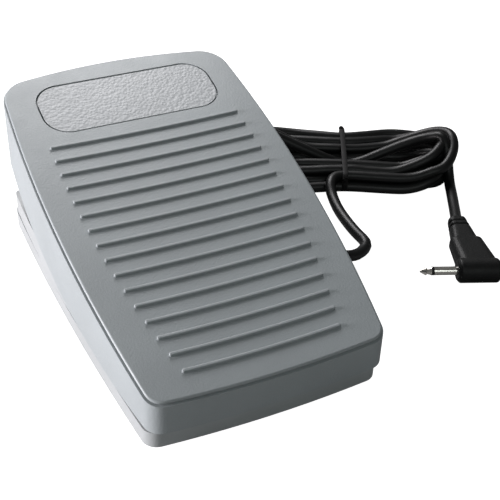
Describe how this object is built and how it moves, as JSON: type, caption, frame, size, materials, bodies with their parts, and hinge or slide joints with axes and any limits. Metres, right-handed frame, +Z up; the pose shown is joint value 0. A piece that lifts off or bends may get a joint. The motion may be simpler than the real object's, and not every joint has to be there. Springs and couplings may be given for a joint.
{
  "type": "foot pedal",
  "caption": "Foot control pedal: a sloping ribbed treadle hinged over a low tray, switch inside, tied cord with a right-angle plug.",
  "frame": {"origin": "on the floor under the middle of the pedal's length and width, the cord not counted", "axes": "+Z up, +Y towards the raised far end (away from the user), +X to the side where the cord leaves"},
  "size_m": [0.2125, 0.1799, 0.0648],
  "materials": {
    "cover_plastic": "fine texture",
    "base_plastic": "fine texture",
    "badge_plastic": "pebbled",
    "switch_plastic": "satin",
    "button_plastic": "satin",
    "cord_plastic": "satin",
    "wire_red": "satin",
    "wire_white": "satin",
    "black_rubber": "matte",
    "steel": "ground",
    "spring_steel": "drawn",
    "plate_steel": "zinc coat",
    "zinc": "bright zinc",
    "nickel": "polished",
    "brass": "satin"
  },
  "bodies": {
    "base": {"base_tray": "base_plastic", "hinge_rod": "steel", "hinge_clip_right": "steel", "hinge_clip_left": "steel", "return_spring": "spring_steel", "keeper_bar": "steel", "keeper_screws": "zinc", "bump_stop_right": "black_rubber", "bump_stop_left": "black_rubber", "ballast_plate": "plate_steel", "ballast_screws": "zinc", "switch_bracket": "plate_steel", "bracket_screws": "zinc", "switch_case": "switch_plastic", "switch_tags": "brass", "switch_screws": "zinc", "rubber_foot_front_right": "black_rubber", "rubber_foot_front_left": "black_rubber", "rubber_foot_rear_right": "black_rubber", "rubber_foot_rear_left": "black_rubber", "blank_plate": "plate_steel", "gland": "cord_plastic", "cord_inner": "cord_plastic", "cord_clamp": "base_plastic", "clamp_screws": "zinc", "wire_a": "wire_red", "wire_b": "wire_white", "cord_lead": "cord_plastic", "cord_hank": "cord_plastic", "cord_tail": "cord_plastic", "hank_tie": "cord_plastic", "plug_body": "cord_plastic", "plug_sleeve": "nickel", "plug_ring": "cord_plastic", "plug_tip": "nickel"},
    "treadle": {"treadle_cover": "cover_plastic", "badge_plate": "badge_plastic"},
    "lever": {"switch_lever": "spring_steel"},
    "button": {"switch_button": "button_plastic"}
  },
  "joints": [
    {"name": "treadle_hinge", "type": "hinge", "parent": "base", "child": "treadle", "pos_m": [0, -0.064, 0.0095], "axis": [-1, 0, 0], "range_deg": [0, 4], "stiffness_Nm_per_rad": 6, "springref_deg": -5.73, "deforming": ["return_spring"]},
    {"name": "switch_lever_hinge", "type": "hinge", "parent": "base", "child": "lever", "pos_m": [0.0216, -0.0235, 0.0203], "axis": [-1, 0, 0], "range_deg": [0, 14.25]},
    {"name": "switch_button_slide", "type": "slide", "parent": "base", "child": "button", "axis": [0, 0, -1], "range_m": [0, 0.00161]}
  ],
  "couplings": [
    {"joint": "switch_lever_hinge", "follows": "treadle_hinge", "ratio": 3.55},
    {"joint": "switch_button_slide", "follows": "treadle_hinge", "m_per_rad": 0.0229}
  ]
}
